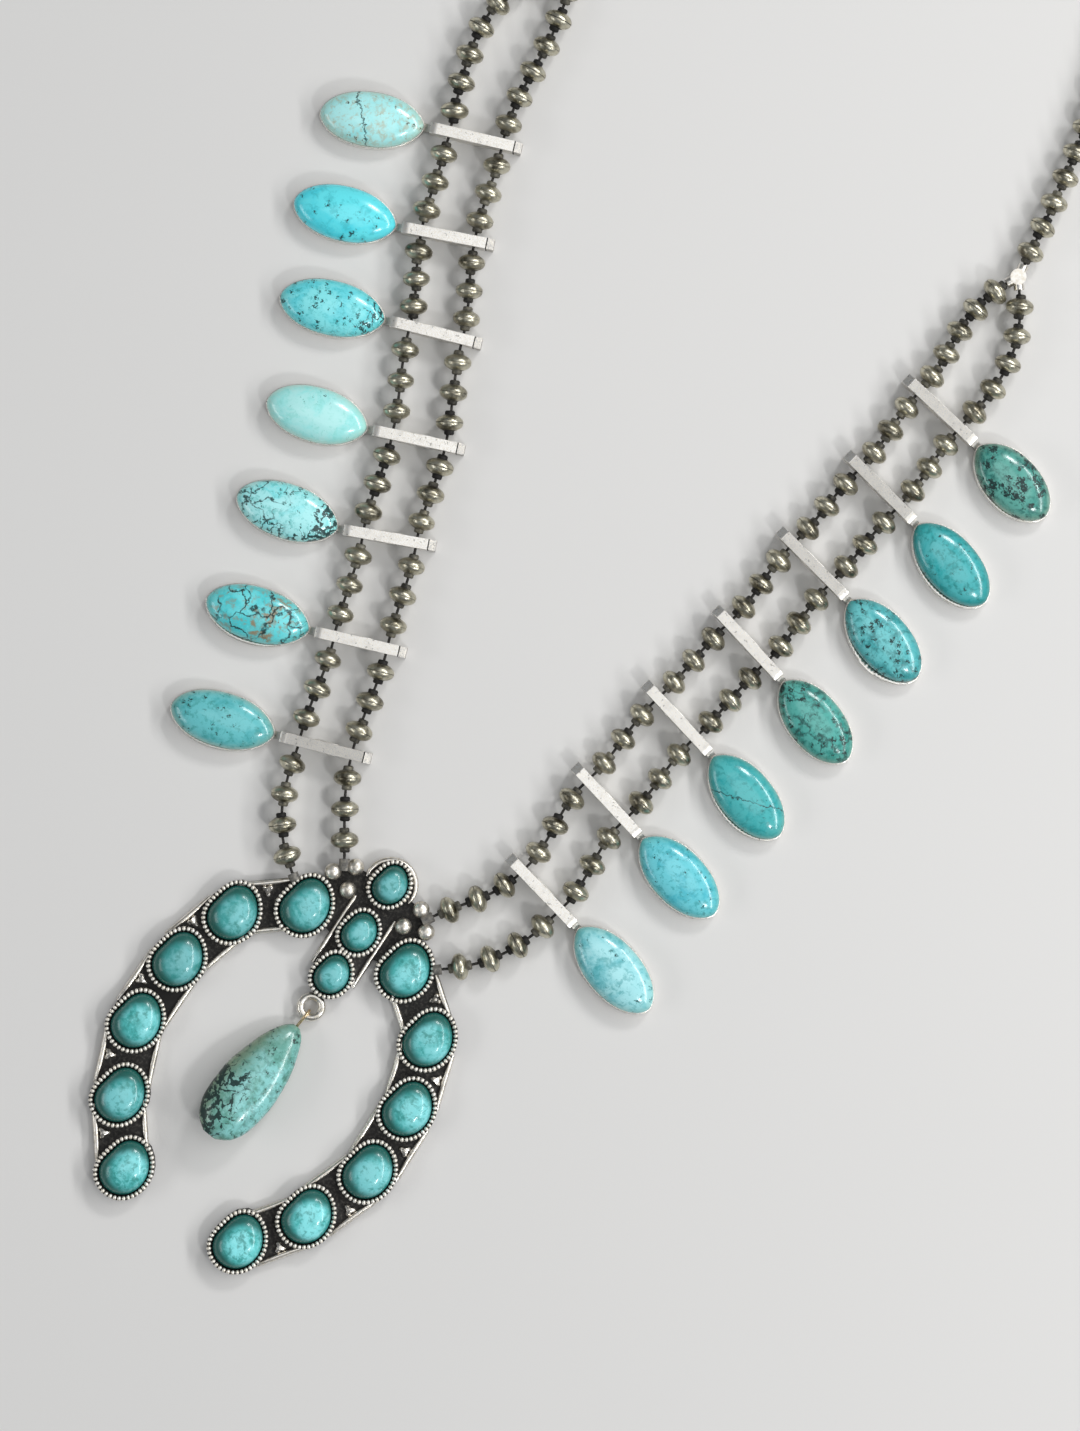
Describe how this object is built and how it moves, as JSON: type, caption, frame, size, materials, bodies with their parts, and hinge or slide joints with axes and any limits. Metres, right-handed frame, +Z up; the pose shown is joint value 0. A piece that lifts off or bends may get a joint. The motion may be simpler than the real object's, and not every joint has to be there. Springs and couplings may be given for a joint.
{
  "type": "squash blossom necklace",
  "caption": "Two-strand necklace of silver saucer beads with turquoise-tipped spacer bars and a horseshoe pendant of turquoise cabochons with a pear drop, laid flat as a closed loop.",
  "frame": {"origin": "on the back of the horseshoe pendant, under the middle of its top centre stone, on the surface that the necklace lies on", "axes": "+Y along the pendant's axis from the horseshoe's mouth towards the strands and the clasp, +X to the right seen from the front, +Z up out of the face of the stones"},
  "size_m": [0.1659, 0.3473, 0.0091],
  "materials": {
    "silver": "antiqued silver-coloured metal, blackened in its recesses",
    "bright_silver": "polished silver-coloured metal with fine scuffs",
    "turquoise": "polished turquoise with dark and rust-brown matrix",
    "thread": "dark beading thread"
  },
  "bodies": {
    "root": {"naja": "silver", "arm_stone_left_1": "turquoise", "arm_stone_left_2": "turquoise", "arm_stone_left_3": "turquoise", "arm_stone_left_4": "turquoise", "arm_stone_left_5": "turquoise", "arm_stone_left_6": "turquoise", "arm_stone_right_1": "turquoise", "arm_stone_right_2": "turquoise", "arm_stone_right_3": "turquoise", "arm_stone_right_4": "turquoise", "arm_stone_right_5": "turquoise", "arm_stone_right_6": "turquoise", "centre_stone_1": "turquoise", "centre_stone_2": "turquoise", "centre_stone_3": "turquoise", "drop_pin": "silver", "drop_stone": "turquoise", "blossom_setting_left_1": "bright_silver", "blossom_setting_left_2": "bright_silver", "blossom_setting_left_3": "bright_silver", "blossom_setting_left_4": "bright_silver", "blossom_setting_left_5": "bright_silver", "blossom_setting_left_6": "bright_silver", "blossom_setting_left_7": "bright_silver", "blossom_setting_right_1": "bright_silver", "blossom_setting_right_2": "bright_silver", "blossom_setting_right_3": "bright_silver", "blossom_setting_right_4": "bright_silver", "blossom_setting_right_5": "bright_silver", "blossom_setting_right_6": "bright_silver", "blossom_setting_right_7": "bright_silver", "blossom_stone_left_1": "turquoise", "blossom_stone_left_2": "turquoise", "blossom_stone_left_3": "turquoise", "blossom_stone_left_4": "turquoise", "blossom_stone_left_5": "turquoise", "blossom_stone_left_6": "turquoise", "blossom_stone_left_7": "turquoise", "blossom_stone_right_1": "turquoise", "blossom_stone_right_2": "turquoise", "blossom_stone_right_3": "turquoise", "blossom_stone_right_4": "turquoise", "blossom_stone_right_5": "turquoise", "blossom_stone_right_6": "turquoise", "blossom_stone_right_7": "turquoise", "beads_outer_left": "silver", "beads_outer_right": "silver", "beads_inner_left": "silver", "beads_inner_right": "silver", "beads_back_left": "silver", "beads_back_right": "silver", "thread_outer_left": "thread", "thread_outer_right": "thread", "thread_inner_left": "thread", "thread_inner_right": "thread", "thread_back": "thread", "joiner_left": "silver", "joiner_right": "silver", "clasp": "silver"}
  },
  "joints": []
}
